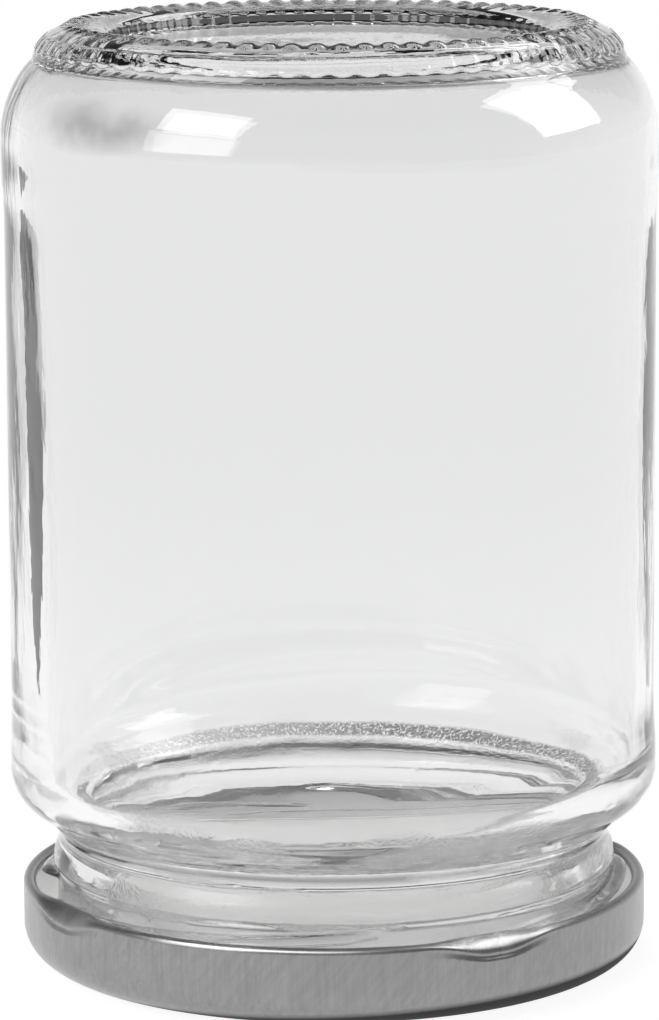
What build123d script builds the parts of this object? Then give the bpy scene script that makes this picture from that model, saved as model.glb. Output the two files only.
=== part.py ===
from build123d import *
import os
from math import asin, cos, degrees, radians, sin

# Empty candle jar: a clear glass jar standing upside down on its four-lug twist-off lid.
# Millimetres, +Z up. The jar's axis is the Z axis, and z = 0 is the face of the lid that it stands on.

# Overall
BODY_RADIUS = 37.5            # contact bands at the shoulder and the heel
OVERALL_HEIGHT = 108.5        # from the lid's standing face to the tips of the base knurls
CLEARANCE = 0.05              # between the seal and the two pieces that it lies between

# Lid: drawn tinplate, with a rolled edge
LID_RADIUS = 36.2
LID_HEIGHT = 9.3
TINPLATE = 0.25
LID_CORNER_RADIUS = 4.0       # between the standing face and the skirt, outside
STANDING_INNER_RADIUS = 29.2  # the inner edge of the standing ring
PANEL_RADIUS = 28.0           # the raised centre panel
PANEL_RISE = 0.9
PANEL_BEND_RADIUS = 0.6
CURL_RADIUS = 0.6             # of the rolled edge, at the middle of the sheet
CURL_SWEEP = 275.0

# Lugs: the rolled edge pressed inward at four places
LUG_COUNT = 4
FIRST_LUG_ANGLE = -59.5
LUG_REACH_RADIUS = 33.45
LUG_ROOT_RADIUS = 35.4
LUG_TIP_HALF_ANGLE = 4.5
LUG_ROOT_HALF_ANGLE = 9.0
LUG_THICKNESS = 1.0
LUG_CORNER_RADIUS = 1.2
LUG_EDGE_RADIUS = 0.3

# Sealing compound in the lid's channel
SEAL_INNER_RADIUS = 30.2
SEAL_OUTER_RADIUS = 34.0
SEAL_TOP = 1.15
SEAL_EDGE_RADIUS = 0.15

# Neck and rim of the jar
RIM_RADIUS = 33.0
RIM_HEIGHT = 2.6
BORE_RADIUS = 29.5
NECK_RADIUS = 32.2
BEAD_RADIUS = 32.7
BEAD_Z = 11.5
PINCH_RADIUS = 31.9
PINCH_Z = 14.3

# Four-start thread ribs on the neck
THREAD_LEAD = 12.8            # rise in one full turn
RIB_SPAN = 95.0               # degrees that each rib runs round the neck
RIB_START_ANGLE = -85.0
RIB_START_Z = 6.5
RIB_TIP_RADIUS = 34.1
RIB_HALF_THICKNESS = 0.75
RIB_SECTIONS = 11
RIB_END_FRACTION = 0.16       # of its length, over which each end sinks into the neck
RIB_END_REACH = 0.5           # half the rib's depth at its very ends
RIB_END_SINK = 0.9            # how far its middle lies inside the neck there

# Shoulder, body and heel
SHOULDER_Z = 22.5             # where the shoulder's arc meets the body
SHOULDER_RADIUS = 5.0
SHOULDER_SLOPE = 50.0         # degrees of the shoulder's arc, down to the straight run into the neck
LABEL_RADIUS = 37.25          # the label panel, just inside the two contact bands
LABEL_LOW_Z = 29.0
LABEL_HIGH_Z = 89.0
BAND_WIDTH = 4.0
HEEL_Z = 95.5
HEEL_RADIUS = 12.6
PARTING_Z = 104.4             # the mould's parting line, round the base

# Bearing ring, knurls and recessed base
KNURL_COUNT = 70
KNURL_HEIGHT = 0.4
KNURL_HALF_WIDTH = 1.1
KNURL_TILT = 62.0             # degrees up from horizontal, to the middle of each knurl
KNURL_LEAN = 1.2              # how far the knurl's arc centre lies from the ring's arc centre
KNURL_SWEEP = 120.0
CREST_RADIUS = 28.9
RING_INNER_RADIUS = 25.6
RECESS_RADIUS = 24.8
RECESS_DEPTH = 2.1
PUSH_UP_DEPTH = 3.4

# Inside of the jar
HEEL_WALL = 1.7               # the wall thickens from here down to the shoulder
HEEL_INNER_SWEEP = 50.0       # degrees of the heel's inner arc
INNER_SHOULDER_RADIUS = 34.4
INNER_SHOULDER_Z = 21.0
INNER_NECK_Z = 17.0
FLOOR_CENTRE_Z = 101.9
FLOOR_DISH_RADIUS = 16.0      # the nearly flat middle of the floor inside
FLOOR_DISH_Z = 102.5
FLOOR_CHANNEL_RADIUS = 27.5   # the deepest ring of the floor, behind the bearing ring
FLOOR_CHANNEL_Z = 104.2

crest_z = OVERALL_HEIGHT - KNURL_HEIGHT + KNURL_LEAN * (1 - sin(radians(KNURL_TILT)))
parting_radius = BODY_RADIUS - HEEL_RADIUS + (HEEL_RADIUS**2 - (PARTING_Z - HEEL_Z) ** 2) ** 0.5
ring_drop = crest_z - PARTING_Z
ring_run = parting_radius - CREST_RADIUS
ring_arc_radius = (ring_run**2 + ring_drop**2) / (2 * ring_drop)
ring_arc_centre = (CREST_RADIUS, crest_z - ring_arc_radius)
rim_z = SEAL_TOP + CLEARANCE


# One crescent knurl: a curved bar that rises out of the bearing ring and sinks back into it at both ends
knurl_tip_radius = ring_arc_radius + KNURL_HEIGHT - KNURL_LEAN
knurl_centre = (
    ring_arc_centre[0] + KNURL_LEAN * cos(radians(KNURL_TILT)),
    ring_arc_centre[1] + KNURL_LEAN * sin(radians(KNURL_TILT)),
)
with BuildPart() as knurl:
    with BuildLine(Plane.XZ) as knurl_path:
        CenterArc(
            knurl_centre,
            knurl_tip_radius - KNURL_HALF_WIDTH,
            KNURL_TILT - KNURL_SWEEP / 2,
            KNURL_SWEEP,
        )
    with BuildSketch(knurl_path.line ^ 0):
        Circle(KNURL_HALF_WIDTH)
    sweep()


def rib_fade(fraction):
    """How far the rib stands out along its length: 0 at its two ends, 1 along its middle."""
    nearest_end = min(fraction, 1 - fraction)
    return min(1.0, nearest_end / RIB_END_FRACTION) ** 0.5


# One thread rib: rounded sections along a right-hand helix, sunk into the neck at both ends
with BuildPart() as thread_rib:
    for index in range(RIB_SECTIONS):
        fraction = index / (RIB_SECTIONS - 1)
        turn = RIB_SPAN * fraction
        angle = radians(RIB_START_ANGLE - 90.0 + turn)
        fade = rib_fade(fraction)
        reach = RIB_END_REACH + (RIB_TIP_RADIUS - NECK_RADIUS - RIB_END_REACH) * fade
        middle_radius = NECK_RADIUS - RIB_END_SINK * (1 - fade)
        section = Plane(
            origin=(
                middle_radius * cos(angle),
                middle_radius * sin(angle),
                RIB_START_Z + THREAD_LEAD * turn / 360.0,
            ),
            x_dir=(cos(angle), sin(angle), 0),
            z_dir=(-sin(angle), cos(angle), 0),
        )
        with BuildSketch(section):
            Ellipse(reach, RIB_HALF_THICKNESS * (0.5 + 0.5 * fade))
    loft()


# Glass jar: one revolved profile, with the ribs and knurls joined on
with BuildPart() as glass_jar:
    with BuildSketch(Plane.XZ):
        with BuildLine():
            heel = CenterArc(
                (BODY_RADIUS - HEEL_RADIUS, HEEL_Z),
                HEEL_RADIUS,
                0,
                degrees(asin((PARTING_Z - HEEL_Z) / HEEL_RADIUS)),
            )
            ring = RadiusArc(heel @ 1, (CREST_RADIUS, crest_z), -ring_arc_radius)
            slope_end = (
                BODY_RADIUS - SHOULDER_RADIUS + SHOULDER_RADIUS * cos(radians(SHOULDER_SLOPE)),
                SHOULDER_Z - SHOULDER_RADIUS * sin(radians(SHOULDER_SLOPE)),
            )
            slope_run = (slope_end[1] - PINCH_Z - 1.0) / cos(radians(SHOULDER_SLOPE))
            slope_foot = (slope_end[0] - slope_run * sin(radians(SHOULDER_SLOPE)), PINCH_Z + 1.0)
            base = FilletPolyline(
                ring @ 1,
                (RING_INNER_RADIUS, crest_z - 0.5),
                (RECESS_RADIUS, crest_z - RECESS_DEPTH),
                (0, crest_z - PUSH_UP_DEPTH),
                radius=(0.5, 0.8),
            )
            axis_line = Line(base @ 1, (0, FLOOR_CENTRE_Z))
            dish = Line(axis_line @ 1, (FLOOR_DISH_RADIUS, FLOOR_DISH_Z))
            inner_heel = CenterArc(
                (BODY_RADIUS - HEEL_RADIUS, HEEL_Z), HEEL_RADIUS - HEEL_WALL, HEEL_INNER_SWEEP, -HEEL_INNER_SWEEP
            )
            Spline(
                dish @ 1,
                (FLOOR_CHANNEL_RADIUS, FLOOR_CHANNEL_Z),
                inner_heel @ 0,
                tangents=(dish % 1, inner_heel % 0),
            )
            FilletPolyline(
                inner_heel @ 1,
                (INNER_SHOULDER_RADIUS, INNER_SHOULDER_Z),
                (BORE_RADIUS, INNER_NECK_Z),
                (BORE_RADIUS, rim_z),
                (RIM_RADIUS, rim_z),
                (RIM_RADIUS, rim_z + RIM_HEIGHT),
                (NECK_RADIUS, rim_z + RIM_HEIGHT + 1.0),
                (NECK_RADIUS, BEAD_Z - 1.5),
                (BEAD_RADIUS, BEAD_Z),
                (PINCH_RADIUS, PINCH_Z - 0.9),
                slope_foot,
                slope_end,
                radius=(5.0, 2.5, 1.1, 1.2, 0.5, 0.5, 1.0, 1.0, 1.2, 1.5),
            )
            shoulder = CenterArc(
                (BODY_RADIUS - SHOULDER_RADIUS, SHOULDER_Z), SHOULDER_RADIUS, -SHOULDER_SLOPE, SHOULDER_SLOPE
            )
            FilletPolyline(
                shoulder @ 1,
                (BODY_RADIUS, LABEL_LOW_Z - BAND_WIDTH / 2),
                (LABEL_RADIUS, LABEL_LOW_Z),
                (LABEL_RADIUS, LABEL_HIGH_Z),
                (BODY_RADIUS, LABEL_HIGH_Z + BAND_WIDTH / 2),
                heel @ 0,
                radius=(3.0, 3.0, 3.0, 3.0),
            )
        make_face()
    revolve(axis=Axis.Z)
    with PolarLocations(0, KNURL_COUNT):
        add(knurl.part)
    with PolarLocations(0, LUG_COUNT):
        add(thread_rib.part)
glass_jar.part.label = "glass_jar"


# One lug: a flat tongue that reaches in over the thread ribs, widest where it leaves the rolled edge
with BuildPart() as lug:
    with BuildSketch(Plane.XY.offset(LID_HEIGHT - LUG_THICKNESS)):
        with BuildLine():
            tip = CenterArc((0, 0), LUG_REACH_RADIUS, -LUG_TIP_HALF_ANGLE, 2 * LUG_TIP_HALF_ANGLE)
            root = CenterArc((0, 0), LUG_ROOT_RADIUS, -LUG_ROOT_HALF_ANGLE, 2 * LUG_ROOT_HALF_ANGLE)
            Line(tip @ 0, root @ 0)
            Line(tip @ 1, root @ 1)
        make_face()
    extrude(amount=LUG_THICKNESS)
    tip_face = lug.faces().sort_by(Axis.X)[0]
    fillet(tip_face.edges().filter_by(Axis.Z), LUG_CORNER_RADIUS)
    fillet(lug.edges().filter_by(Plane.XY), LUG_EDGE_RADIUS)


# Lid shell: a thin profile from the centre panel to the end of the rolled edge, with the lugs joined on
sheet_radius = LID_RADIUS - TINPLATE / 2
curl_centre = (sheet_radius - CURL_RADIUS, LID_HEIGHT - TINPLATE / 2 - CURL_RADIUS)
with BuildPart() as lid_shell:
    with BuildSketch(Plane.XZ):
        with BuildLine():
            FilletPolyline(
                (0, PANEL_RISE + TINPLATE / 2),
                (PANEL_RADIUS, PANEL_RISE + TINPLATE / 2),
                (STANDING_INNER_RADIUS, TINPLATE / 2),
                (sheet_radius, TINPLATE / 2),
                (sheet_radius, curl_centre[1]),
                radius=(PANEL_BEND_RADIUS, PANEL_BEND_RADIUS, LID_CORNER_RADIUS - TINPLATE / 2),
            )
            CenterArc(curl_centre, CURL_RADIUS, 0, CURL_SWEEP)
        trace(line_width=TINPLATE)
    revolve(axis=Axis.Z)
    with PolarLocations(0, LUG_COUNT, start_angle=FIRST_LUG_ANGLE):
        add(lug.part)
lid_shell.part.label = "lid_shell"


# Sealing compound: a shallow ring that lies in the lid's channel, under the glass rim
seal_corner_radius = LID_CORNER_RADIUS - TINPLATE - CLEARANCE
seal_corner_centre = (LID_RADIUS - LID_CORNER_RADIUS, LID_CORNER_RADIUS)
seal_corner_sweep = degrees(asin((SEAL_OUTER_RADIUS - seal_corner_centre[0]) / seal_corner_radius))
with BuildPart() as seal_ring:
    with BuildSketch(Plane.XZ) as seal_section:
        with BuildLine():
            corner = CenterArc(seal_corner_centre, seal_corner_radius, -90, seal_corner_sweep)
            Polyline(
                corner @ 1,
                (SEAL_OUTER_RADIUS, SEAL_TOP),
                (SEAL_INNER_RADIUS, SEAL_TOP),
                (SEAL_INNER_RADIUS, TINPLATE + CLEARANCE),
                corner @ 0,
            )
        make_face()
        fillet(seal_section.vertices().group_by(Axis.Y)[-1], SEAL_EDGE_RADIUS)
    revolve(axis=Axis.Z)
seal_ring.part.label = "seal_ring"


os.makedirs("parts", exist_ok=True)
for piece in (glass_jar, lid_shell, seal_ring):
    export_step(piece.part, f"parts/{piece.part.label}.step")
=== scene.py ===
import math

import bmesh
import bpy
import numpy as np
from mathutils import Matrix, Vector


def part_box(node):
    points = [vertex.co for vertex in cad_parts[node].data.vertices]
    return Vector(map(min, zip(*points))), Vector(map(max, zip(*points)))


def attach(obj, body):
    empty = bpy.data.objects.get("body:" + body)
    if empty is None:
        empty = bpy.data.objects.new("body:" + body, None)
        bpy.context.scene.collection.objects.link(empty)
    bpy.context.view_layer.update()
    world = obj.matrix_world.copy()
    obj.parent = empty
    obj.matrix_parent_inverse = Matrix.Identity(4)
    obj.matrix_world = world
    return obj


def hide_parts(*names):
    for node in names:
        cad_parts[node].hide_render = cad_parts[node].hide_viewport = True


# Empty candle jar: a clear glass jar standing upside down on its twist-off lid.
# Metres, +Z up, the jar's axis on Z. Profiles are worked out in millimetres and scaled by MM.
# A profile is a list of points, each a radius and a height.

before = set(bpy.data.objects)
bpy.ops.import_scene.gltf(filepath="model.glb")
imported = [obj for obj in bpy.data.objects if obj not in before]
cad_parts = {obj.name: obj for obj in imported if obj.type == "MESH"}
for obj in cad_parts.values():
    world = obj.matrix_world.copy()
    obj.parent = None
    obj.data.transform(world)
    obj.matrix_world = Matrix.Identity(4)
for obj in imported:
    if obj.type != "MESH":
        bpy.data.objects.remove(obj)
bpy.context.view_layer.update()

MM = 0.001
jar_low, jar_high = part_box("glass_jar")
lid_low, lid_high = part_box("lid_shell")
seal_low, seal_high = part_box("seal_ring")
rng = np.random.default_rng(7)

# ---------------------------------------------------------------- sizes in millimetres, angles in degrees

# From the frame
TOP = jar_high.z / MM                # tips of the knurls
RIM = jar_low.z / MM                 # the glass rim, on the seal
BODY = jar_high.x / MM               # body radius at the contact bands
LID_R = lid_high.x / MM
LID_H = lid_high.z / MM
SEAL_TOP = seal_high.z / MM
SEAL_LOW = seal_low.z / MM
SEAL_R = seal_high.x / MM

# Glass, outside
KNURLS = 70
KNURL_HEIGHT = 0.4
KNURL_WEAR = 0.1                     # the tallest knurls are worn flat at TOP
CREST_R = 28.9
CREST = TOP - KNURL_HEIGHT + KNURL_WEAR
RECESS_DEPTH = 3.4
PARTING_Z = TOP - 4.1
HEEL_Z = TOP - 13.0
HEEL_ARC = 12.6
LABEL_DEPTH = 0.22                   # the label panel lies this much below the contact bands
SHOULDER_Z = RIM + 21.3
SHOULDER_ARC = 5.0
PINCH_Z = RIM + 13.1
PINCH_R = 31.9
BEAD_Z = RIM + 10.3
BEAD_R = 32.7
NECK_R = 32.2
NECK_LOW = RIM + 3.6
RIM_R = 33.0

# Glass, inside
BORE_R = 29.5
CORNER_R = 31.4                      # where the bore opens into the body
INNER_HEEL_R = 35.65
INNER_HEEL_ARC = INNER_HEEL_R - (BODY - HEEL_ARC)
BASE_THICKNESS = 6.6                 # from the tips of the knurls to the inside floor

# Thread ribs and lugs
FRONT = -90.0
THREAD_LEAD = 12.8
RIB_START = FRONT - 85.0
RIB_SPAN = 95.0
RIB_FADE = 9.0
RIB_START_Z = 6.5
RIB_REACH = 1.9
RIB_HALF = 0.75
LUGS = 4
LUG_SPACING = 360.0 / LUGS
FIRST_LUG = -59.5
LUG_CORE = 1.5                       # from a lug's middle to where it starts to fade, and to where it ends
LUG_END = 16.5

# Lid
SHEET = 0.22
LID_CORNER = 4.0
PANEL_Z = 0.9
PANEL_R = 27.4
STAND_R = 29.7                       # inner edge of the ring that the lid stands on
CURL = 0.72                          # half the thickness of the rolled edge
CURL_END = 285.0
LUG_WIDEN = 0.63
LUG_FLATTEN = 0.30
LUG_INWARD = 0.52
LUG_TILT = 46.0
LUG_DENT = 0.30                      # how far a lug draws the top of the skirt inward

# Unevenness: how many sines are added up, and the height that they seldom pass
WAVE_SINES = 7
WAVE_PEAK = 2.5

# Points round a ring
FINE = 840
MIDDLE = 280
COARSE = 140
LID_POINTS = 720
SEAL_POINTS = 280

# ---------------------------------------------------------------- sizes in metres

CHILL_FADE = (0.0210, 0.0235)
THICK_NECK = (0.0110, 0.0135)
THICK_BASE = (0.1042, 0.1050)
WALL_FADE = (0.028, 0.058)
# Where painted shade lies in the glass: the inner step of the base, and the corner of the chill mark.
STEP_RADII = (0.0250, 0.0258)
CORNER_RADII = (0.0320, 0.0326)
FLOOR_HALF = 6.0
AIM_HEIGHT = 0.06
SOFTBOX_DISTANCE = 0.9
GLINT_DISTANCE = 0.7
CARD_DISTANCE = 0.13
CARD_NEAREST = 0.1055                # light that leaves the jar nearer to a card than this doesn't see it

# Height, and the angles from the back between which a card reaches at that height
CARD_LEVELS = (
    (0.0035, 36.0, 37.0),
    (0.0145, 33.0, 41.0),
    (0.0265, 31.0, 43.0),
    (0.0400, 29.0, 45.0),
    (0.0570, 29.5, 45.0),
    (0.0715, 38.0, 40.0),
)
CARD_STEPS = 12

CAMERA_PLACE = (0.0, -0.58146, 0.15904)
CAMERA_PITCH = 9.89
CAMERA_ROLL = -0.34

# ---------------------------------------------------------------- colours

WALL_LOW = (0.915, 0.916, 0.917)
WALL_HIGH = (0.885, 0.886, 0.887)
THICK_GLASS = (0.82, 0.821, 0.822)
# Painted shade in the glass colour: a grey patch on the heel, dark grain on the chill mark, black on the
# inner step of the base.
HEEL_PAINTED_SHADE = (0.38, 0.38, 0.38)
CHILL_PAINTED_SHADE = (0.05, 0.05, 0.05)
STEP_PAINTED_SHADE = (0.01, 0.01, 0.01)
TINPLATE = ((0.265, 0.265, 0.265), (0.330, 0.330, 0.330))
# Painted shade: black round the bottom bend of the lid.
FOOT_PAINTED_SHADE = (0.012, 0.012, 0.012)
LACQUER = ((0.55, 0.55, 0.545), (0.63, 0.63, 0.625))
COMPOUND = ((0.66, 0.66, 0.65), (0.78, 0.78, 0.77))
WHITE = (1.0, 1.0, 1.0, 1.0)
FLOOR_GREY = (0.45, 0.45, 0.45, 1.0)


# ---------------------------------------------------------------- curves and lathe


def smoothstep(low, high, x):
    t = np.clip((np.asarray(x, float) - low) / (high - low), 0.0, 1.0)
    return t * t * (3 - 2 * t)


def angles(segments):
    """Evenly spaced angles round the axis, in radians."""
    return np.arange(segments) * 2 * math.pi / segments


def at_height(base, points):
    """The profile points with their heights measured from base."""
    return [(r, base + z) for r, z in points]


def arc(centre, radius, start, end, count):
    """Points on an arc, angles in degrees, both ends included."""
    a = np.radians(np.linspace(start, end, count))
    return [(centre[0] + radius * math.cos(t), centre[1] + radius * math.sin(t)) for t in a]


def run(start, end, count):
    """Evenly spaced points after start, up to and including end."""
    return [
        (start[0] + (end[0] - start[0]) * k / count, start[1] + (end[1] - start[1]) * k / count)
        for k in range(1, count + 1)
    ]


def between(a, b, c, d, t):
    """The point at share t from b to c on the Catmull-Rom curve through a, b, c and d."""
    bend = (2 * a - 5 * b + 4 * c - d) * t * t
    return 0.5 * (2 * b + (c - a) * t + bend + (3 * b - a - 3 * c + d) * t**3)


def curve_through(points, count):
    """A smooth curve through a few points, with count steps from each point to the next."""
    p = [np.array(q, float) for q in points]
    p = [2 * p[0] - p[1]] + p + [2 * p[-1] - p[-2]]
    out = []
    for i in range(1, len(p) - 2):
        out += [tuple(between(*p[i - 1 : i + 3], k / count)) for k in range(count)]
    out.append(tuple(p[-2]))
    return out


def wave(theta, z, seed, amount, around, along):
    """A smooth, seamless, repeatable unevenness of the glass: a few sines round the jar and along it.

    around is the most waves round the jar, and along the most radians for each millimetre of height.
    """
    r = np.random.default_rng(seed)
    total = np.zeros(np.broadcast(theta, z).shape)
    for _ in range(WAVE_SINES):
        n = r.integers(1, around + 1)
        k = r.uniform(0.3, 1.0) * along
        strength = r.uniform(0.4, 1.0) / math.sqrt(n)
        total = total + strength * np.sin(n * theta + k * z + r.uniform(0, 2 * math.pi))
    return amount * total / WAVE_PEAK


class Lathe:
    """A closed surface of rings round the Z axis. Each ring may have its own number of points."""

    def __init__(self):
        self.verts = []
        self.faces = []
        self.rings = []

    def ring(self, radius, height, segments):
        theta = angles(segments)
        r = np.broadcast_to(radius, theta.shape) * MM
        z = np.broadcast_to(height, theta.shape) * MM
        self._add(np.stack([r * np.cos(theta), r * np.sin(theta), z], axis=1))

    def pole(self, height):
        self._add(np.array([[0.0, 0.0, height * MM]]))

    def close(self):
        self._join(self.rings[-1], self.rings[0])

    def mark(self):
        """The number of faces so far, to give the next ones another material."""
        return len(self.faces)

    def _add(self, points):
        start = sum(len(v) for v in self.verts)
        self.verts.append(points)
        self.rings.append((start, len(points)))
        if len(self.rings) > 1:
            self._join(self.rings[-2], self.rings[-1])

    def _join(self, a, b):
        (a0, na), (b0, nb) = a, b
        if na == 1:
            self.faces += [(a0, b0 + k, b0 + (k + 1) % nb) for k in range(nb)]
        elif nb == 1:
            self.faces += [(a0 + (k + 1) % na, a0 + k, b0) for k in range(na)]
        elif na >= nb:
            m = na // nb
            for k in range(nb):
                fine = [a0 + (k * m + j) % na for j in range(m, -1, -1)]
                self.faces.append((*fine, b0 + k, b0 + (k + 1) % nb))
        else:
            m = nb // na
            for k in range(na):
                fine = [b0 + (k * m + j) % nb for j in range(m + 1)]
                self.faces.append((a0 + (k + 1) % na, a0 + k, *fine))

    def build(self, name):
        mesh = bpy.data.meshes.new(name)
        mesh.from_pydata(np.concatenate(self.verts).tolist(), [], self.faces)
        mesh.validate()
        work = bmesh.new()
        work.from_mesh(mesh)
        if work.calc_volume(signed=True) < 0:
            bmesh.ops.reverse_faces(work, faces=work.faces)
        work.to_mesh(mesh)
        work.free()
        mesh.polygons.foreach_set("use_smooth", [True] * len(mesh.polygons))
        mesh.update()
        piece = bpy.data.objects.new(name, mesh)
        bpy.context.scene.collection.objects.link(piece)
        return piece


# ---------------------------------------------------------------- glass jar, outside


def ring_arc():
    """Centre, radius and end angle of the bearing ring's outer arc, from the crest to the parting line."""
    heel_centre_r = BODY - HEEL_ARC
    parting_r = heel_centre_r + math.sqrt(HEEL_ARC**2 - (PARTING_Z - HEEL_Z) ** 2)
    drop = CREST - PARTING_Z
    across = parting_r - CREST_R
    radius = (across**2 + drop**2) / (2 * drop)
    centre = (CREST_R, CREST - radius)
    end = math.degrees(math.atan2(PARTING_Z - centre[1], parting_r - CREST_R))
    return centre, radius, end


def knurl_pattern():
    """Height of the knurls round the ring, from 0 to 1, by angle and by distance outward from the crest."""
    pitch = 2 * math.pi / KNURLS
    lean = rng.normal(0, 0.04, KNURLS)
    height = np.clip(rng.normal(0.86, 0.09, KNURLS), 0.6, 1.0)
    half_width = rng.normal(0.40, 0.02, KNURLS)
    half_length = rng.normal(1.9, 0.10, KNURLS)
    middle = rng.normal(0.1, 0.08, KNURLS)

    def value(theta, outward):
        index = np.round(theta / pitch).astype(int) % KNURLS
        along = (outward - middle[index]) / half_length[index]
        bend = 0.05 * along**2
        side = (theta / pitch - np.round(theta / pitch) - lean[index] - bend) / half_width[index]
        return height[index] * np.clip(1 - side**2 - along**2, 0, None) ** 1.2

    return value


def mould_band(theta, drop):
    """A barely raised band below the knurls, with an upright mark under each and a wavy lower edge."""
    swing = np.cos(KNURLS * theta + 0.5 * drop * np.cos(theta))
    lower = 2.85 + 0.14 * swing
    band = smoothstep(1.36, 1.52, drop) * (1 - smoothstep(lower, lower + 0.2, drop))
    teeth = smoothstep(-0.5, 0.5, swing)
    return band * (0.06 + 0.10 * teeth)


def rib_height(theta, z):
    """How far the four thread ribs stand out of the neck."""
    total = np.zeros(np.broadcast(theta, z).shape)
    for k in range(LUGS):
        start = math.radians(RIB_START + LUG_SPACING * k)
        turn = np.degrees((theta - start) % (2 * math.pi))
        centre = RIB_START_Z + THREAD_LEAD * turn / 360.0
        fade = smoothstep(0.0, RIB_FADE, turn) * (1 - smoothstep(RIB_SPAN - RIB_FADE, RIB_SPAN, turn))
        body = np.clip(1 - ((z - centre) / (RIB_HALF * (0.6 + 0.4 * fade))) ** 2, 0, None)
        total = np.maximum(total, RIB_REACH * fade * body**0.6)
    return total


def recessed_base(lathe):
    t = angles(COARSE)
    floor_z = CREST - RECESS_DEPTH
    lathe.pole(floor_z)
    dish = at_height(floor_z, [(0.4, 0.0), (8.0, 0.1), (16.0, 0.45), (21.5, 0.8), (23.9, 0.9)])
    for r, z in curve_through(dish, 5):
        lathe.ring(r, z + wave(t, r, seed=3, amount=0.05, around=5, along=0.5), COARSE)


def bearing_ring(lathe):
    """The steep inside step, the crest with its knurls, and the outer arc down to the parting line."""
    t = angles(FINE)
    knurl = knurl_pattern()
    centre, radius, end = ring_arc()
    step = [(24.6, -2.45), (25.15, -2.2), (25.35, -1.75), (25.5, -1.25)]
    brow = [(25.85, -0.8), (26.5, -0.4), (27.6, -0.1)]
    path = curve_through(at_height(CREST, step + brow), 2) + arc(centre, radius, 90, end, 44)
    for i, (r, z) in enumerate(path):
        before, after = path[max(i - 1, 0)], path[min(i + 1, len(path) - 1)]
        normal = np.array([before[1] - after[1], after[0] - before[0]])
        normal = normal / np.hypot(*normal)
        outward = math.copysign(math.hypot(r - CREST_R, z - CREST), r - CREST_R)
        lift = KNURL_HEIGHT * knurl(t, np.full(t.shape, outward)) + mould_band(t, TOP - z)
        lathe.ring(r + normal[0] * lift, np.minimum(z + normal[1] * lift, TOP), FINE)
    return path[-1][0]


def heel_and_body(lathe, parting_r):
    """The parting line, the heel, and the body with its label panel."""
    t = angles(MIDDLE)
    lathe.ring(parting_r + 0.10, PARTING_Z - 0.12, MIDDLE)
    start = math.degrees(math.asin((PARTING_Z - HEEL_Z) / HEEL_ARC))
    for r, z in arc((BODY - HEEL_ARC, HEEL_Z), HEEL_ARC, start - 1.6, 0, 20):
        dent = wave(t, z, seed=11, amount=0.035, around=6, along=0.25)
        lathe.ring(np.minimum(r + dent - 0.04, BODY), z, MIDDLE)
    for z in np.linspace(HEEL_Z - 1.2, SHOULDER_Z + 1.2, 40):
        label = smoothstep(SHOULDER_Z + 2.5, SHOULDER_Z + 6.5, z)
        label = label * (1 - smoothstep(HEEL_Z - 8.5, HEEL_Z - 4.5, z))
        dent = wave(t, z, seed=12, amount=0.03, around=4, along=0.10)
        lathe.ring(np.minimum(BODY - 0.04 - LABEL_DEPTH * label + dent, BODY), z, MIDDLE)


def shoulder_and_neck(lathe):
    """The shoulder, the pinch above the bead, and the neck with its thread ribs."""
    t = angles(MIDDLE)
    shoulder = arc((BODY - SHOULDER_ARC, SHOULDER_Z), SHOULDER_ARC, 0, -50, 16)
    pinch = [(33.4, PINCH_Z + 2.45), (32.25, PINCH_Z + 1.2), (PINCH_R, PINCH_Z)]
    bead = [(BEAD_R - 0.25, BEAD_Z + 1.3), (BEAD_R, BEAD_Z)]
    throat = curve_through([shoulder[-1], *pinch, *bead], 4)
    for r, z in shoulder + throat[1:]:
        dent = wave(t, z, seed=14, amount=0.05, around=7, along=0.3)
        lathe.ring(np.minimum(r - 0.03 + dent, BODY), z, MIDDLE)
    for z in np.linspace(BEAD_Z - 0.2, NECK_LOW, 54):
        bead_rise = (BEAD_R - NECK_R) * smoothstep(BEAD_Z - 1.6, BEAD_Z - 0.1, z)
        dent = wave(t, z, seed=15, amount=0.04, around=5, along=0.4)
        lathe.ring(NECK_R + bead_rise + rib_height(t, z) + dent, z, MIDDLE)


def rim(lathe):
    above = at_height(NECK_LOW, [(NECK_R + 0.25, -0.4), (RIM_R - 0.1, -0.9)])
    lip = at_height(RIM, [(RIM_R, 1.6), (RIM_R - 0.25, 0.55), (RIM_R - 1.0, 0.06), (31.4, 0.0)])
    for r, z in curve_through(above + lip, 4):
        lathe.ring(r, max(z, RIM), MIDDLE)


# ---------------------------------------------------------------- glass jar, inside


def flare(theta, r):
    """How much further out the inside wall opens on the right than in the middle, as it leaves the bore."""
    return 0.5 * np.cos(theta) * smoothstep(30.5, 33.8, r)


def bore(lathe):
    t = angles(COARSE)
    edge = [(BORE_R + 0.8, 0.25), (BORE_R + 0.25, 0.9), (BORE_R, 2.2)]
    wall = [(BORE_R, 6.0), (BORE_R, 10.0), (BORE_R - 0.1, 12.2), (BORE_R + 0.1, 13.2), (BORE_R - 0.1, 14.8)]
    for r, z in curve_through(at_height(RIM, edge + wall), 4):
        lathe.ring(r + wave(t, z, seed=21, amount=0.10, around=4, along=0.25), z, COARSE)


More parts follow.
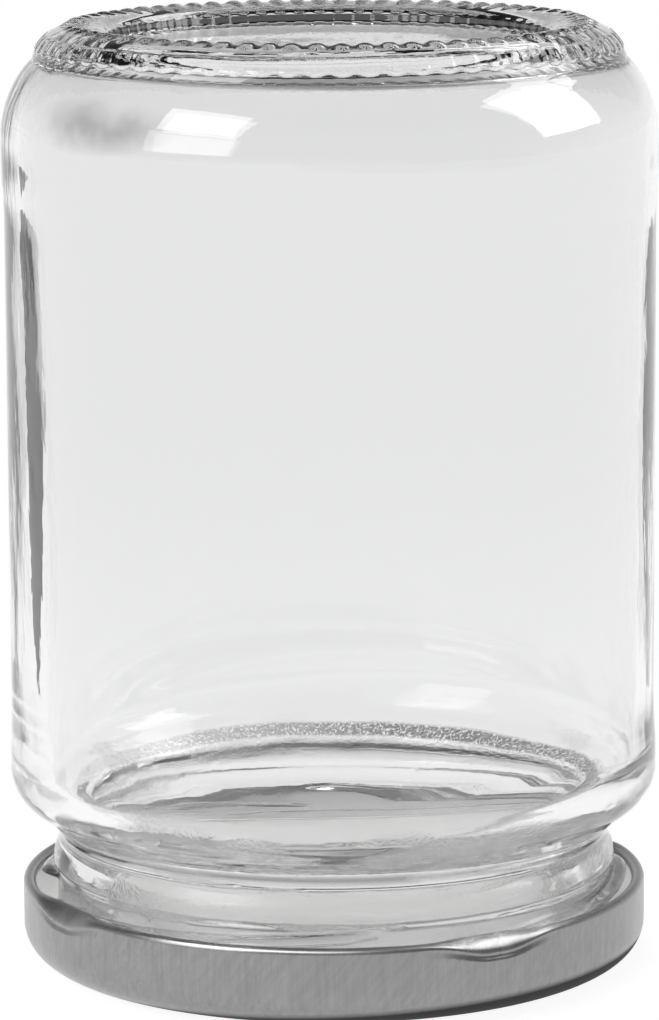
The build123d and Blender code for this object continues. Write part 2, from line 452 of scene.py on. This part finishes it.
def chill_mark(lathe):
    """The corner where the bore opens into the body, wrinkled where the glass was chilled."""
    t = angles(FINE)
    clouds = wave(t, 0.0, seed=41, amount=1.0, around=5, along=0.1)
    patchy = 0.25 + 0.75 * smoothstep(-0.25, 0.6, clouds + 0.5 * np.cos(t - 0.7))
    corner = [(BORE_R - 0.12, 15.2), (BORE_R - 0.3, 16.3), (BORE_R + 0.1, 17.2), (BORE_R + 1.0, 17.9)]
    for r, z in curve_through(at_height(RIM, [*corner, (CORNER_R, 18.5)]), 8):
        grain = rng.normal(0, 1, FINE)
        grain = (np.roll(grain, 1) + 2 * grain + np.roll(grain, -1)) / 4
        band = smoothstep(RIM + 15.3, RIM + 16.3, z) * (1 - smoothstep(RIM + 17.2, RIM + 18.2, z))
        dent = wave(t, z, seed=22, amount=0.12, around=9, along=0.5)
        lathe.ring(r + flare(t, r) + dent + 0.03 * band * patchy * grain, z, FINE)


def inner_wall(lathe):
    """From the chill mark up the shoulder, the body and the heel. The wall is thicker on the left."""
    t = angles(COARSE)
    side = np.cos(t)
    for r, z in curve_through(at_height(RIM, [(31.9, 18.9), (33.0, 19.9), (33.7, 21.5)]), 6):
        lathe.ring(r + flare(t, r) + wave(t, z, seed=22, amount=0.12, around=9, along=0.5), z, COARSE)
    low, high = RIM + 22.8, TOP - 14.5
    for z in np.linspace(low, high, 44):
        along = (z - low) / (high - low)
        mean = 34.05 + 0.6 * along + along**2
        uneven = 0.85 - 0.1 * along - 0.45 * along**2
        lathe.ring(mean + uneven * side + wave(t, z, seed=23, amount=0.07, around=6, along=0.09), z, COARSE)
    for r, z in arc((BODY - HEEL_ARC, HEEL_Z), INNER_HEEL_ARC, 4, 52, 16):
        dent = wave(t, z, seed=24, amount=0.08, around=6, along=0.2)
        lathe.ring(r + 0.3 * side * (r / INNER_HEEL_R) + dent, z, COARSE)


def inner_floor(lathe):
    t = angles(COARSE)
    floor_z = TOP - BASE_THICKNESS
    dish = [(29.8, 2.5), (27.5, 2.35), (24.0, 1.7), (18.0, 0.9), (10.0, 0.3), (3.0, 0.05)]
    for r, z in curve_through(at_height(floor_z, dish), 5):
        lathe.ring(r, z + wave(t, r, seed=25, amount=0.08, around=5, along=0.3), COARSE)
    lathe.pole(floor_z)


def make_jar():
    lathe = Lathe()
    recessed_base(lathe)
    parting_r = bearing_ring(lathe)
    heel_and_body(lathe, parting_r)
    shoulder_and_neck(lathe)
    rim(lathe)
    bore(lathe)
    chill_mark(lathe)
    inner_wall(lathe)
    inner_floor(lathe)
    jar = lathe.build("jar_glass")
    jar.data.materials.append(glass_material())
    return jar


# ---------------------------------------------------------------- lid


def lug_depth(theta):
    """0 away from the lugs, 1 in the middle of each."""
    total = np.zeros(theta.shape)
    for k in range(LUGS):
        centre = math.radians(FIRST_LUG + LUG_SPACING * k)
        off = np.degrees((theta - centre + math.pi) % (2 * math.pi) - math.pi)
        total = np.maximum(total, 1 - smoothstep(LUG_CORE, LUG_END, np.abs(off)))
    return total


def lid_bottom_outside():
    """The raised panel, the step down to the ring that the lid stands on, and the corner of the skirt."""
    panel = curve_through([(0.5, PANEL_Z), (14.0, PANEL_Z), (PANEL_R, PANEL_Z)], 6)
    step = curve_through([(28.0, PANEL_Z - 0.05), (28.5, 0.5), (29.0, 0.08), (STAND_R, 0.0)], 4)
    stand = run((STAND_R, 0.0), (LID_R - LID_CORNER, 0.0), 4)
    corner = arc((LID_R - LID_CORNER, LID_CORNER), LID_CORNER, -84, 0, 18)
    return panel + step + stand + corner


def lid_bottom_inside():
    """The same way back, a sheet's thickness further in."""
    top = PANEL_Z + SHEET
    corner = arc((LID_R - LID_CORNER, LID_CORNER), LID_CORNER - SHEET, 0, -84, 14)
    stand = run(corner[-1], (29.6, SHEET), 4)
    step = curve_through([(29.2, SHEET + 0.05), (28.6, 0.72), (28.1, top - 0.05), (PANEL_R, top)], 4)
    panel = curve_through([(27.0, top), (14.0, top), (0.5, top)], 6)
    return corner + stand + step + panel


def make_lid():
    """Drawn tinplate shell: the outside, the rolled edge with its lugs, then the inside back to the axis."""
    depth = lug_depth(angles(LID_POINTS))
    half_width = CURL + LUG_WIDEN * depth
    half_height = CURL - LUG_FLATTEN * depth
    tilt = -math.radians(LUG_TILT) * depth
    curl_r = LID_R - CURL - LUG_INWARD * depth
    curl_z = LID_H - np.hypot(half_width * np.sin(tilt), half_height * np.cos(tilt))
    skirt_low = LID_CORNER + 0.4
    skirt_high = curl_z + half_width * np.sin(tilt)
    lathe = Lathe()

    def skirt(share, inset):
        push = LUG_DENT * depth * smoothstep(0.76, 1.0, share)
        lathe.ring(LID_R - inset - push, skirt_low + (skirt_high - skirt_low) * share, LID_POINTS)

    def rolled(angle, inset):
        around = math.radians(angle)
        across = (half_width - inset) * math.cos(around)
        up = (half_height - inset) * math.sin(around)
        r = curl_r + across * np.cos(tilt) - up * np.sin(tilt)
        z = curl_z + across * np.sin(tilt) + up * np.cos(tilt)
        lathe.ring(r, z, LID_POINTS)

    lathe.pole(PANEL_Z)
    for r, z in lid_bottom_outside():
        lathe.ring(r, z, LID_POINTS)
    for share in np.linspace(0, 1, 40):
        skirt(share, 0.0)
    for angle in np.linspace(0, CURL_END, 30)[1:]:
        rolled(angle, 0.0)
    lacquer_from = lathe.mark()
    for angle in np.linspace(CURL_END, 0, 26):
        rolled(angle, SHEET)
    for share in np.linspace(1, 0, 30)[1:]:
        skirt(share, SHEET)
    for r, z in lid_bottom_inside():
        lathe.ring(r, z, LID_POINTS)
    lathe.pole(PANEL_Z + SHEET)
    lid = lathe.build("lid_tinplate")
    index = np.zeros(len(lid.data.polygons), np.int32)
    index[lacquer_from:] = 1
    lid.data.materials.append(tinplate_material())
    lid.data.materials.append(lacquer_material())
    lid.data.polygons.foreach_set("material_index", index)
    return lid


# ---------------------------------------------------------------- seal


def make_seal():
    """Flowed-in compound: a shallow ring, pressed into a groove where the glass rim bears on it."""
    low, top = SEAL_LOW, SEAL_TOP
    edge = SEAL_R - 0.02
    section = [(30.4, low + 0.02), (32.2, low + 0.02), (33.3, low + 0.2), (edge, low + 0.5)]
    section += [(edge, top - 0.06), (33.7, top - 0.01), (33.1, top - 0.05), (32.4, top - 0.1)]
    section += [(31.4, top - 0.1), (30.9, top - 0.04), (30.5, top - 0.02)]
    section += [(30.25, top - 0.25), (30.25, low + 0.2)]
    dent = wave(angles(SEAL_POINTS), 0.0, seed=31, amount=0.015, around=9, along=0.1)
    lathe = Lathe()
    for r, z in curve_through([*section, section[0]], 4)[:-1]:
        lathe.ring(np.minimum(r, SEAL_R), np.clip(z + dent, low, top), SEAL_POINTS)
    lathe.close()
    seal = lathe.build("seal_compound_ring")
    seal.data.materials.append(seal_material())
    return seal


# ---------------------------------------------------------------- materials


class Graph:
    """A node tree, with a short call for each kind of node that is used here."""

    def __init__(self, tree):
        self.nodes = tree.nodes
        self.links = tree.links

    def object_place(self):
        return self.nodes.new("ShaderNodeTexCoord").outputs["Object"]

    def axes(self, vector):
        split = self.nodes.new("ShaderNodeSeparateXYZ")
        self.links.new(vector, split.inputs[0])
        return split.outputs

    def stretched(self, scale):
        """Object coordinates, multiplied by scale."""
        mapping = self.nodes.new("ShaderNodeMapping")
        mapping.inputs["Scale"].default_value = scale
        self.links.new(self.object_place(), mapping.inputs["Vector"])
        return mapping.outputs["Vector"]

    def local(self, location=(0.0, 0.0, 0.0), rotation=(0.0, 0.0, 0.0), scale=(1.0, 1.0, 1.0)):
        """Object coordinates seen from a box of that place, turn and size."""
        mapping = self.nodes.new("ShaderNodeMapping")
        mapping.vector_type = "TEXTURE"
        mapping.inputs["Location"].default_value = location
        mapping.inputs["Rotation"].default_value = rotation
        mapping.inputs["Scale"].default_value = scale
        self.links.new(self.object_place(), mapping.inputs["Vector"])
        return mapping.outputs["Vector"]

    def length(self, vector):
        node = self.nodes.new("ShaderNodeVectorMath")
        node.operation = "LENGTH"
        self.links.new(vector, node.inputs[0])
        return node.outputs["Value"]

    def noise(self, vector, scale, detail=4.0, roughness=0.5):
        texture = self.nodes.new("ShaderNodeTexNoise")
        texture.inputs["Scale"].default_value = scale
        texture.inputs["Detail"].default_value = detail
        texture.inputs["Roughness"].default_value = roughness
        self.links.new(vector, texture.inputs["Vector"])
        return texture.outputs["Fac"]

    def ramp(self, value, low, high, out_low=0.0, out_high=1.0):
        node = self.nodes.new("ShaderNodeMapRange")
        node.inputs["From Min"].default_value = low
        node.inputs["From Max"].default_value = high
        node.inputs["To Min"].default_value = out_low
        node.inputs["To Max"].default_value = out_high
        self.links.new(value, node.inputs["Value"])
        return node.outputs["Result"]

    def window(self, value, low, high, edge):
        """1 where value lies between low and high, with soft edges."""
        rise = self.ramp(value, low, low + edge)
        fall = self.ramp(value, high - edge, high, 1.0, 0.0)
        return self.math("MULTIPLY", rise, fall)

    def math(self, operation, *values):
        """A Math node on sockets and numbers."""
        node = self.nodes.new("ShaderNodeMath")
        node.operation = operation
        for socket, value in zip(node.inputs, values):
            if isinstance(value, float):
                socket.default_value = value
            else:
                self.links.new(value, socket)
        return node.outputs[0]

    def bump(self, height, distance, strength, under=None):
        node = self.nodes.new("ShaderNodeBump")
        node.inputs["Strength"].default_value = strength
        node.inputs["Distance"].default_value = distance
        self.links.new(height, node.inputs["Height"])
        if under is not None:
            self.links.new(under, node.inputs["Normal"])
        return node.outputs["Normal"]

    def mix(self, factor, a, b):
        """A colour between a and b, each of them a socket or three numbers."""
        node = self.nodes.new("ShaderNodeMix")
        node.data_type = "RGBA"
        self.links.new(factor, node.inputs["Factor"])
        for name, colour in (("A", a), ("B", b)):
            if isinstance(colour, tuple):
                node.inputs[name].default_value = (*colour, 1.0)
            else:
                self.links.new(colour, node.inputs[name])
        return node.outputs["Result"]


def new_material(name):
    material = bpy.data.materials.new(name)
    material.use_nodes = True
    return material, Graph(material.node_tree), material.node_tree.nodes["Principled BSDF"].inputs


def heel_shade_patch(graph):
    """1 in the middle of a soft patch of painted grey shade on the front left of the heel, 0 away from it.
    """
    patch = graph.local(location=(-0.0255, -0.0252, 0.0990), scale=(0.0115, 0.0125, 0.0032))
    soft = graph.ramp(graph.length(patch), 0.15, 1.0, 1.0, 0.0)
    cloud = graph.ramp(graph.noise(graph.stretched((1.0, 1.0, 1.0)), 180.0, 3.0), 0.3, 0.6)
    return graph.math("MULTIPLY", soft, cloud)


def glass_material():
    """Clear glass with slow and fine ripples, grainy where it was chilled, and greyer where it is thick,
    with painted shade: a grey patch on the heel, dark grain on the chill mark and black on the inner step of
    the base.
    """
    material, graph, shader = new_material("clear_container_glass")
    shader["Transmission Weight"].default_value = 1.0
    shader["IOR"].default_value = 1.52
    shader["Roughness"].default_value = 0.0
    x, y, z = graph.axes(graph.object_place())
    squares = graph.math("ADD", graph.math("MULTIPLY", x, x), graph.math("MULTIPLY", y, y))
    radius = graph.math("SQRT", squares)
    slow = graph.noise(graph.stretched((1.0, 1.0, 0.45)), 55.0, 2.0)
    fine = graph.noise(graph.stretched((1.0, 1.0, 0.3)), 260.0, 3.0, 0.55)
    grain = graph.noise(graph.stretched((1.0, 1.0, 1.0)), 3000.0, 3.0, 0.6)
    patches = graph.noise(graph.stretched((1.0, 1.0, 4.0)), 80.0, 2.0)

    rippled = graph.bump(fine, 0.00006, 0.30, under=graph.bump(slow, 0.0004, 0.30))
    below = graph.ramp(z, *CHILL_FADE, 1.0, 0.0)
    chilled = graph.math("MULTIPLY", below, graph.ramp(patches, 0.50, 0.60))
    speckle = graph.math("MULTIPLY", grain, chilled)
    graph.links.new(graph.bump(speckle, 0.00012, 0.8, under=rippled), shader["Normal"])

    thick = graph.math("MAXIMUM", graph.ramp(z, *THICK_NECK, 1.0, 0.0), graph.ramp(z, *THICK_BASE))
    # Painted shade: the inner step of the base ring is coloured black, standing in for the dark rim that
    # light bouncing inside the thick base gives.
    step_band = graph.window(z, (TOP - 2.55) * MM, (TOP - 1.45) * MM, 0.0001)
    step = graph.math("MULTIPLY", step_band, graph.window(radius, *STEP_RADII, 0.0001))
    # Painted shade: dark grain on the corner of the chill mark, stronger towards the back right.
    corner_band = graph.window(z, (RIM + 16.9) * MM, (RIM + 18.5) * MM, 0.0003)
    corner = graph.math("MULTIPLY", corner_band, graph.ramp(radius, *CORNER_RADII, 1.0, 0.0))
    wrinkled = graph.math("MULTIPLY", corner, graph.ramp(grain, 0.34, 0.50))
    strength = graph.ramp(graph.math("ADD", x, y), -0.020, 0.036, 0.35, 1.0)
    chill_shade_mask = graph.math("MULTIPLY", wrinkled, strength)

    wall = graph.mix(graph.ramp(z, *WALL_FADE), WALL_LOW, WALL_HIGH)
    tint = graph.mix(thick, wall, THICK_GLASS)
    # Painted shade: a grey patch on the front left of the heel.
    tint = graph.mix(heel_shade_patch(graph), tint, HEEL_PAINTED_SHADE)
    tint = graph.mix(chill_shade_mask, tint, CHILL_PAINTED_SHADE)
    tint = graph.mix(step, tint, STEP_PAINTED_SHADE)
    graph.links.new(tint, shader["Base Color"])
    return material


def tinplate_material():
    """Satin tinplate: fine upright brush lines and slanting rubs, with painted shade at the foot: a black,
    dull, non-metal band round the bottom bend, reaching higher on the right.
    """
    material, graph, shader = new_material("satin_brushed_tinplate")
    brushed = graph.noise(graph.stretched((1.0, 1.0, 0.05)), 2300.0, 6.0, 0.7)
    slanting = graph.local(rotation=(0.0, math.radians(38.0), 0.0), scale=(1.0, 1.0, 9.0))
    rubs = graph.noise(slanting, 1500.0, 4.0, 0.6)
    blotch = graph.noise(graph.stretched((1.0, 1.0, 1.0)), 90.0, 3.0)
    x, _, z = graph.axes(graph.object_place())
    # Painted shade: the bottom bend turns black, dull and non-metal, a little higher on the right.
    foot = graph.ramp(graph.math("MULTIPLY_ADD", x, -0.040, z), 0.0011, 0.0019)
    lines = graph.math("MULTIPLY_ADD", rubs, 0.8, brushed)
    colour = graph.mix(graph.ramp(lines, 0.68, 1.12), *TINPLATE)
    graph.links.new(graph.mix(foot, FOOT_PAINTED_SHADE, colour), shader["Base Color"])
    dull = graph.ramp(foot, 0.0, 1.0, 0.8, 0.0)
    satin = graph.ramp(blotch, 0.3, 0.7, 0.24, 0.34)
    graph.links.new(graph.math("MAXIMUM", satin, dull), shader["Roughness"])
    graph.links.new(foot, shader["Metallic"])
    graph.links.new(graph.bump(lines, 0.00001, 0.5), shader["Normal"])
    return material


def mottled_material(name, colours, scale, roughness, bump_distance):
    """A dull coating whose colour, roughness and height follow one noise."""
    material, graph, shader = new_material(name)
    mottle = graph.noise(graph.stretched((1.0, 1.0, 1.0)), scale)
    graph.links.new(graph.mix(mottle, *colours), shader["Base Color"])
    graph.links.new(graph.ramp(mottle, 0.3, 0.7, *roughness), shader["Roughness"])
    graph.links.new(graph.bump(mottle, bump_distance, 0.4), shader["Normal"])
    return material


def lacquer_material():
    """Pale lacquer on the inside of the lid."""
    return mottled_material("pale_inner_lacquer", LACQUER, 240.0, (0.28, 0.4), 0.00004)


def seal_material():
    return mottled_material("pale_sealing_compound", COMPOUND, 700.0, (0.5, 0.65), 0.00005)


# ---------------------------------------------------------------- studio


def make_floor():
    mesh = bpy.data.meshes.new("studio_floor")
    half = FLOOR_HALF
    corners = [(-half, -half, 0), (half, -half, 0), (half, half, 0), (-half, half, 0)]
    mesh.from_pydata(corners, [], [(0, 1, 2, 3)])
    floor = bpy.data.objects.new("studio_floor", mesh)
    bpy.context.scene.collection.objects.link(floor)
    material, _, shader = new_material("pale_floor")
    shader["Base Color"].default_value = FLOOR_GREY
    shader["Roughness"].default_value = 0.9
    shader["Specular IOR Level"].default_value = 0.2
    shader["Emission Color"].default_value = WHITE
    shader["Emission Strength"].default_value = 0.90
    mesh.materials.append(material)


def make_world():
    """Pale studio walls under a dark ceiling, a little darker in front of the jar than behind it."""
    world = bpy.data.worlds.new("studio")
    bpy.context.scene.world = world
    world.use_nodes = True
    graph = Graph(world.node_tree)
    background = graph.nodes["Background"].inputs
    background["Color"].default_value = WHITE
    _, y, z = graph.axes(graph.nodes.new("ShaderNodeTexCoord").outputs["Generated"])
    height = graph.ramp(z, 0.05, 0.62, 0.92, 0.14)
    depth = graph.ramp(y, -0.4, 0.4, 0.55, 1.0)
    graph.links.new(graph.math("MULTIPLY", height, depth), background["Strength"])


def softbox(name, azimuth, elevation, distance, width, height, radiance, lit):
    """A rectangular light aimed at the jar. Azimuth is measured from the front, positive to the right."""
    a, e = math.radians(azimuth), math.radians(elevation)
    aim = Vector((0, 0, AIM_HEIGHT))
    place = aim + distance * Vector((math.sin(a) * math.cos(e), -math.cos(a) * math.cos(e), math.sin(e)))
    data = bpy.data.lights.new(name, "AREA")
    data.shape = "RECTANGLE"
    data.size = width
    data.size_y = height
    data.energy = radiance * width * height * math.pi
    lamp = bpy.data.objects.new(name, data)
    lamp.location = place
    lamp.rotation_euler = (aim - place).to_track_quat("-Z", "Y").to_euler()
    lamp.visible_camera = False
    bpy.context.scene.collection.objects.link(lamp)
    receivers = bpy.data.collections.new(name + "_receivers")
    for piece in lit:
        receivers.objects.link(piece)
    lamp.light_linking.receiver_collection = receivers
    return lamp


def make_softboxes(jar, lid, seal):
    """The studio's softboxes, then the lid's own lamps: two that fill it and two that only glint on it."""
    for name, azimuth, elevation, width, height, radiance, lit in (
        ("softbox_left_upper", -50.0, 37.0, 0.44, 0.30, 4.8, (jar, lid, seal)),
        ("softbox_left_lower", -50.0, 17.5, 0.50, 0.28, 2.6, (jar, lid, seal)),
        ("softbox_right", 95.0, 33.0, 0.50, 0.60, 4.2, (jar, seal)),
        ("softbox_back_right", 138.0, 46.0, 0.50, 0.26, 4.0, (jar,)),
    ):
        softbox(name, azimuth, elevation, SOFTBOX_DISTANCE, width, height, radiance, lit)
    for name, azimuth, elevation, width, height, radiance in (
        ("lid_fill", 95.0, 45.0, 0.50, 0.80, 2.6),
        ("lid_front_fill", 0.0, 25.0, 0.60, 0.40, 6.0),
    ):
        fill = softbox(name, azimuth, elevation, SOFTBOX_DISTANCE, width, height, radiance, (lid,))
        fill.visible_glossy = False
    for name, azimuth, elevation, width, height, radiance in (
        ("lid_lug_light", 88.0, 52.0, 0.36, 0.40, 4.0),
        ("lid_edge_light", -38.0, 52.0, 0.80, 0.34, 4.0),
    ):
        glint = softbox(name, azimuth, elevation, GLINT_DISTANCE, width, height, radiance, (lid,))
        glint.visible_diffuse = False


def card_material():
    """Dark for light that leaves the glass after one bounce inside it, clear for all other light."""
    material = bpy.data.materials.new("dark_card")
    material.use_nodes = True
    graph = Graph(material.node_tree)
    graph.nodes.clear()
    path = graph.nodes.new("ShaderNodeLightPath").outputs
    clear = graph.nodes.new("ShaderNodeBsdfTransparent")
    dark = graph.nodes.new("ShaderNodeEmission")
    dark.inputs["Color"].default_value = WHITE
    dark.inputs["Strength"].default_value = 0.01
    bounced = graph.math("GREATER_THAN", path["Glossy Depth"], 0.5)
    one_wall = graph.math("LESS_THAN", path["Transmission Depth"], 2.5)
    past_side = graph.math("GREATER_THAN", path["Ray Length"], CARD_NEAREST)
    through = graph.math("MULTIPLY", one_wall, past_side)
    leaving = graph.math("MULTIPLY", through, path["Is Transmission Ray"])
    mix = graph.nodes.new("ShaderNodeMixShader")
    graph.links.new(graph.math("MULTIPLY", bounced, leaving), mix.inputs[0])
    graph.links.new(clear.outputs[0], mix.inputs[1])
    graph.links.new(dark.outputs[0], mix.inputs[2])
    graph.links.new(mix.outputs[0], graph.nodes.new("ShaderNodeOutputMaterial").inputs["Surface"])
    return material


def card_mesh(name, turn):
    """A curved upright card, turned round the jar's axis by turn degrees."""
    verts = []
    for z, start, end in CARD_LEVELS:
        for k in range(CARD_STEPS + 1):
            a = math.radians(turn + start + (end - start) * k / CARD_STEPS)
            verts.append((CARD_DISTANCE * math.sin(a), CARD_DISTANCE * math.cos(a), z))
    row = CARD_STEPS + 1
    faces = []
    for level in range(len(CARD_LEVELS) - 1):
        for k in range(CARD_STEPS):
            a = level * row + k
            faces.append((a, a + 1, a + row + 1, a + row))
    mesh = bpy.data.meshes.new(name)
    mesh.from_pydata(verts, [], faces)
    return mesh


def make_dark_cards():
    """Four low dark cards round the jar. Only light that has bounced inside the glass sees them.

    They draw the dark upright streaks where a clear jar's wall is seen edge on, the same from every side.
    """
    material = card_material()
    for side in range(4):
        name = f"dark_card_{side + 1}"
        mesh = card_mesh(name, 90.0 * side)
        mesh.materials.append(material)
        card = bpy.data.objects.new(name, mesh)
        bpy.context.scene.collection.objects.link(card)
        card.visible_camera = False
        card.visible_shadow = False
        card.visible_diffuse = False


def make_camera():
    data = bpy.data.cameras.new("camera")
    camera = bpy.data.objects.new("camera", data)
    bpy.context.scene.collection.objects.link(camera)
    pitch = Matrix.Rotation(math.pi / 2 - math.radians(CAMERA_PITCH), 4, "X")
    roll = Matrix.Rotation(math.radians(CAMERA_ROLL), 4, "Z")
    camera.matrix_world = Matrix.Translation(CAMERA_PLACE) @ pitch @ roll
    data.lens = 180.66
    data.sensor_width = 36.0
    data.shift_x = -0.0019
    data.shift_y = -0.0487
    data.clip_start = 0.01
    data.clip_end = 50.0
    bpy.context.scene.camera = camera


# ---------------------------------------------------------------- assembly

jar = make_jar()
jar.visible_shadow = False
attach(jar, "jar")
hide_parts("glass_jar")

lid = make_lid()
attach(lid, "lid")
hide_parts("lid_shell")

seal = make_seal()
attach(seal, "seal")
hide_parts("seal_ring")

make_floor()
make_world()
make_softboxes(jar, lid, seal)
make_dark_cards()
make_camera()

scene = bpy.context.scene
scene.view_settings.view_transform = "Standard"
scene.cycles.max_bounces = 24
scene.cycles.transmission_bounces = 24
scene.cycles.glossy_bounces = 8
